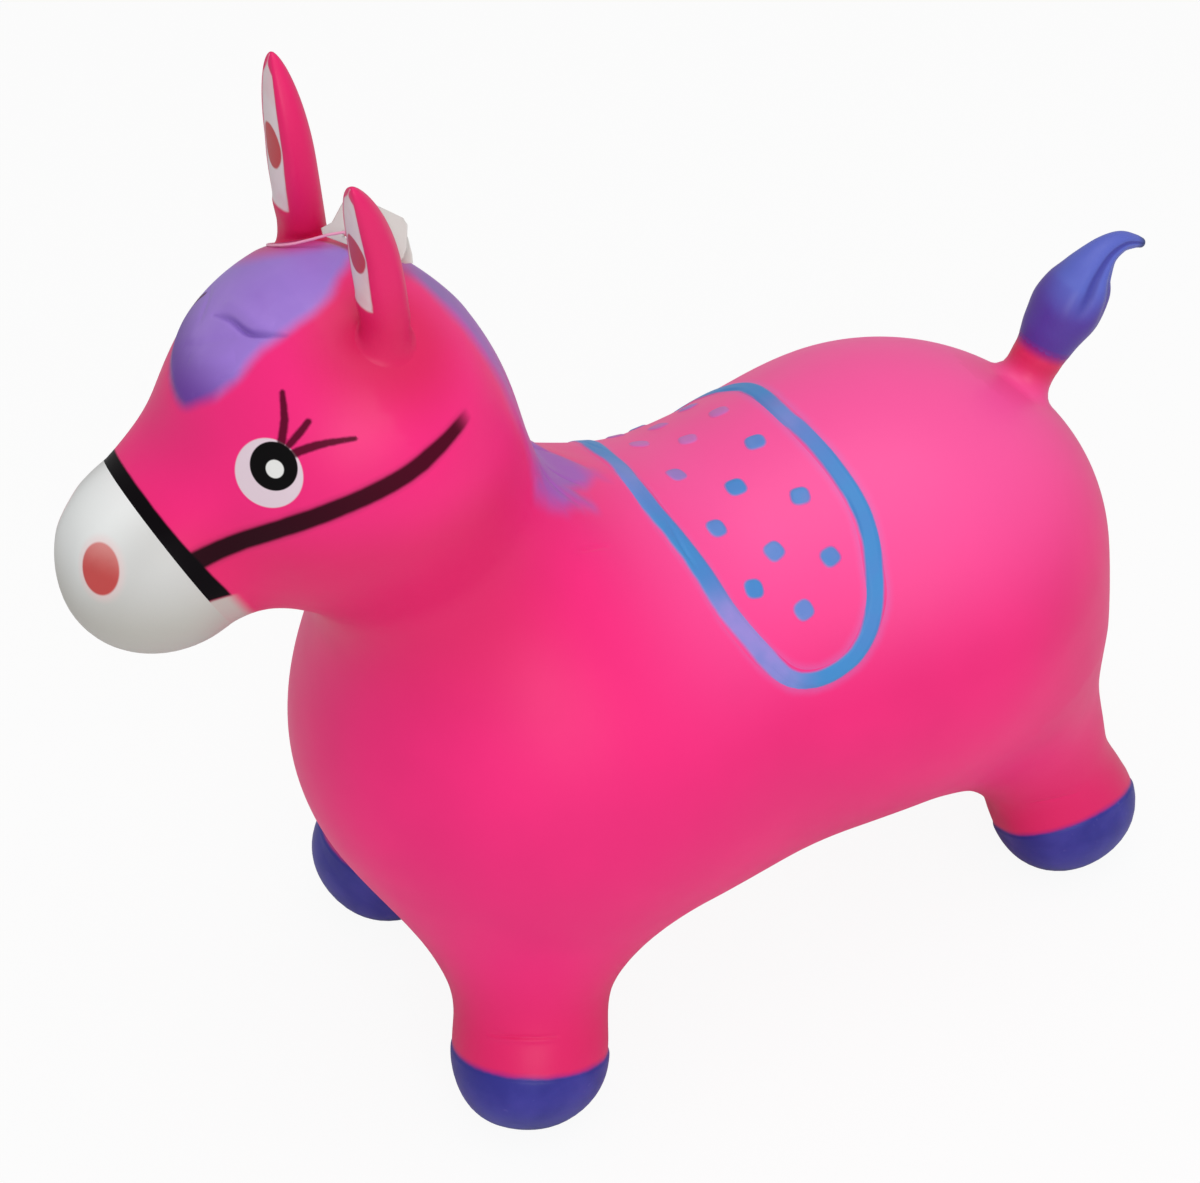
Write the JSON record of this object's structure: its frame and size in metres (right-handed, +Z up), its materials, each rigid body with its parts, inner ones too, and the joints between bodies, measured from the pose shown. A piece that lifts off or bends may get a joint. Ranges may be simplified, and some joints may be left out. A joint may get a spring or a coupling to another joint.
{
  "type": "inflatable bouncy horse",
  "caption": "Blown soft-vinyl hopper horse with a rounded body, saddle seat, upright ears to hold and a curled tail, for a small child to sit and bounce on.",
  "frame": {"origin": "on the floor under the middle of the horse's length and width", "axes": "+Z up, -Y to the front (muzzle), +Y to the tail, +X to the horse's left"},
  "size_m": [0.2444, 0.5759, 0.5472],
  "materials": {
    "pink_vinyl": "soft moulded vinyl, satin gloss, hot pink",
    "purple_vinyl": "sprayed purple-blue paint on soft vinyl, satin",
    "white_vinyl": "sprayed off-white paint on soft vinyl, satin",
    "valve_vinyl": "soft white vinyl",
    "valve_plastic": "moulded white plastic",
    "tag_card": "blank off-white coated card",
    "loop_plastic": "thin pale plastic loop"
  },
  "bodies": {
    "horse": {"torso": "pink_vinyl", "neck": "pink_vinyl", "head": "pink_vinyl", "muzzle": "white_vinyl", "front_left_leg": "pink_vinyl", "front_right_leg": "pink_vinyl", "rear_left_leg": "pink_vinyl", "rear_right_leg": "pink_vinyl", "valve_collar": "valve_vinyl", "tag_loop": "loop_plastic"},
    "left_ear": {"left_ear": "pink_vinyl"},
    "right_ear": {"right_ear": "pink_vinyl"},
    "tail": {"tail_root": "pink_vinyl", "tail_tuft": "purple_vinyl"},
    "plug": {"valve_plug": "valve_plastic"},
    "tag": {"hang_tag": "tag_card"},
    "front_left_foot": {"front_left_hoof": "purple_vinyl"},
    "front_right_foot": {"front_right_hoof": "purple_vinyl"},
    "rear_left_foot": {"rear_left_hoof": "purple_vinyl"},
    "rear_right_foot": {"rear_right_hoof": "purple_vinyl"}
  },
  "joints": [
    {"name": "left_ear_bend", "type": "hinge", "parent": "horse", "child": "left_ear", "pos_m": [0.041, -0.1485, 0.46309], "axis": [1, 0, 0], "range_deg": [-20, 20], "stiffness_Nm_per_rad": 0.15},
    {"name": "right_ear_bend", "type": "hinge", "parent": "horse", "child": "right_ear", "pos_m": [-0.041, -0.1485, 0.46309], "axis": [1, 0, 0], "range_deg": [-20, 20], "stiffness_Nm_per_rad": 0.15},
    {"name": "tail_bend", "type": "hinge", "parent": "horse", "child": "tail", "pos_m": [0, 0.21925, 0.27859], "axis": [1, 0, 0], "range_deg": [-20, 20], "stiffness_Nm_per_rad": 0.2, "springref_deg": 1.89},
    {"name": "front_left_bounce", "type": "slide", "parent": "horse", "child": "front_left_foot", "axis": [0, 0, 1], "range_m": [0, 0.015], "stiffness_N_per_m": 2500, "springref_m": -0.002, "deforming": ["front_left_leg"]},
    {"name": "front_right_bounce", "type": "slide", "parent": "horse", "child": "front_right_foot", "axis": [0, 0, 1], "range_m": [0, 0.015], "stiffness_N_per_m": 2500, "springref_m": -0.002, "deforming": ["front_right_leg"]},
    {"name": "rear_left_bounce", "type": "slide", "parent": "horse", "child": "rear_left_foot", "axis": [0, 0, 1], "range_m": [0, 0.015], "stiffness_N_per_m": 2500, "springref_m": -0.0015, "deforming": ["rear_left_leg"]},
    {"name": "rear_right_bounce", "type": "slide", "parent": "horse", "child": "rear_right_foot", "axis": [0, 0, 1], "range_m": [0, 0.015], "stiffness_N_per_m": 2500, "springref_m": -0.0015, "deforming": ["rear_right_leg"]},
    {"name": "valve_plug_pull", "type": "slide", "parent": "horse", "child": "plug", "axis": [0, 0, -1], "range_m": [0, 0.016]},
    {"name": "tag_swing", "type": "hinge", "parent": "horse", "child": "tag", "pos_m": [-0.01497, -0.13882, 0.47345], "axis": [0.8644, 0.499, -0.062], "range_deg": [0, 40]}
  ]
}
